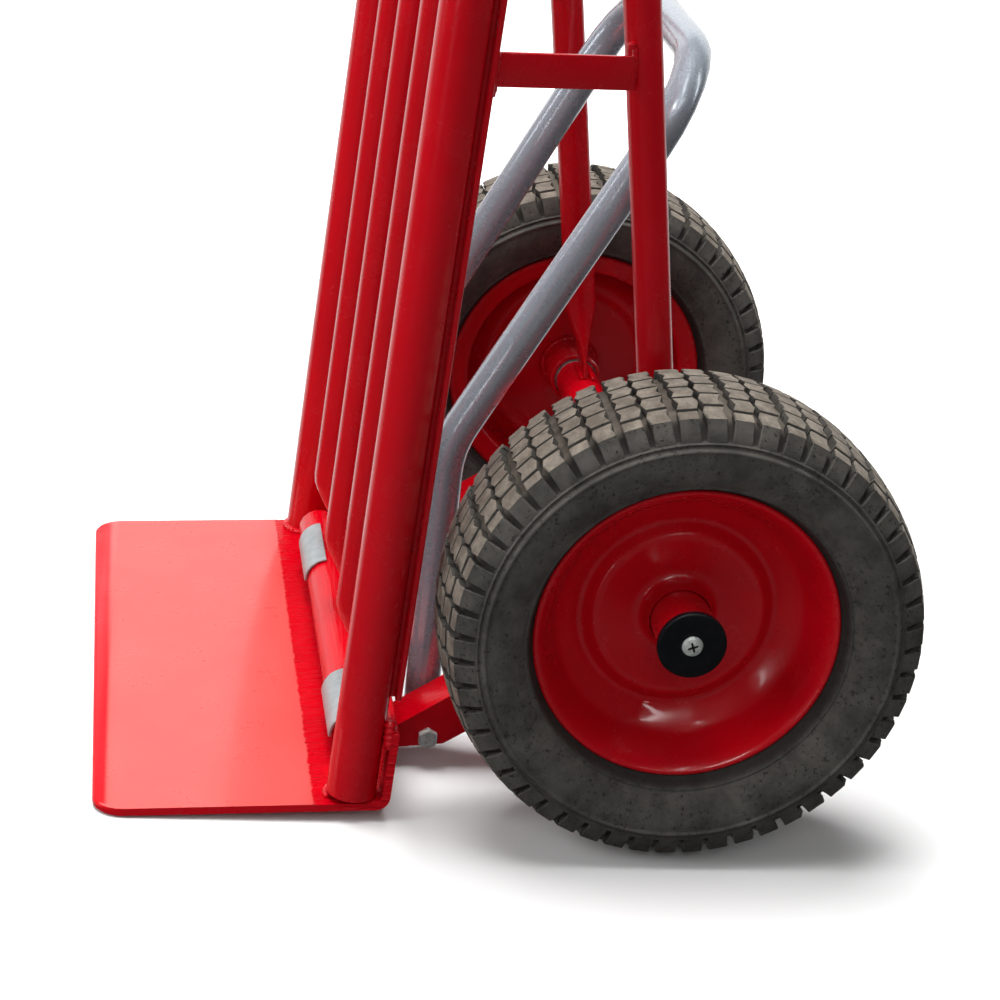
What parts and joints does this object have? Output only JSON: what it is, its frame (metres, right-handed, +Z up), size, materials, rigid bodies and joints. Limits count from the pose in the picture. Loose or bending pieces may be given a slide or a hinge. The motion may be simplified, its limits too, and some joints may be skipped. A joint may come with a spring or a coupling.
{
  "type": "convertible hand truck",
  "caption": "Tubular steel hand truck with a bent toe plate, a swing-out rear support loop and wide tyres on pressed rims.",
  "frame": {"origin": "on the ground, under the middle of the truck's overall box: between the wheels, and midway from the toe plate's nose to the backs of the tyres", "axes": "+X across to the left wheel (left as seen by a person standing behind the truck and facing the toe plate), +Y from the toe plate back towards the wheels, +Z up"},
  "size_m": [0.6328, 0.5522, 1.2908],
  "materials": {
    "red_paint": "gloss red paint",
    "silver_paint": "satin silver-grey paint",
    "galvanised": "dull galvanised sheet",
    "zinc": "zinc plated",
    "bright_steel": "bright turned steel",
    "tyre_rubber": "dusty moulded tyre",
    "grip_rubber": "matt black rubber",
    "black_plastic": "semi-matt black plastic"
  },
  "bodies": {
    "chassis": {"axle_bracket_left": "red_paint", "axle_bracket_right": "red_paint", "axle_shaft": "bright_steel", "axle_tube": "red_paint", "axle_washer_left": "zinc", "axle_washer_right": "zinc", "brace_left": "red_paint", "brace_right": "red_paint", "cap_screw_left": "zinc", "cap_screw_right": "zinc", "frame_tube_left": "red_paint", "frame_tube_right": "red_paint", "hand_grip_left": "grip_rubber", "hand_grip_right": "grip_rubber", "hub_cap_left": "black_plastic", "hub_cap_right": "black_plastic", "inner_tube_centre": "red_paint", "inner_tube_left": "red_paint", "inner_tube_right": "red_paint", "lower_cross_tube": "red_paint", "mid_cross_strap": "red_paint", "pivot_bolt_left": "zinc", "pivot_bolt_right": "zinc", "pivot_nut_left": "zinc", "pivot_nut_right": "zinc", "pivot_washer_left": "zinc", "pivot_washer_right": "zinc", "rear_strip_left": "red_paint", "rear_strip_right": "red_paint", "saddle_strap_left": "galvanised", "saddle_strap_right": "galvanised", "strut_left": "red_paint", "strut_right": "red_paint", "toe_plate": "red_paint", "upper_cross_tube": "red_paint"},
    "left_wheel": {"tyre_left": "tyre_rubber", "rim_left": "red_paint", "hub_tube_left": "red_paint", "bearing_inner_left": "bright_steel", "bearing_outer_left": "bright_steel"},
    "right_wheel": {"tyre_right": "tyre_rubber", "rim_right": "red_paint", "hub_tube_right": "red_paint", "bearing_inner_right": "bright_steel", "bearing_outer_right": "bright_steel"},
    "support_loop": {"support_loop": "silver_paint"}
  },
  "joints": [
    {"name": "left_wheel_spin", "type": "hinge", "parent": "chassis", "child": "left_wheel", "pos_m": [0.2574, 0.1111, 0.165], "axis": [1, 0, 0], "continuous": true},
    {"name": "right_wheel_spin", "type": "hinge", "parent": "chassis", "child": "right_wheel", "pos_m": [-0.2574, 0.1111, 0.165], "axis": [1, 0, 0], "continuous": true},
    {"name": "support_loop_swing", "type": "hinge", "parent": "chassis", "child": "support_loop", "pos_m": [0, -0.04, 0.0242], "axis": [-1, 0, 0], "range_deg": [0, 35]}
  ]
}
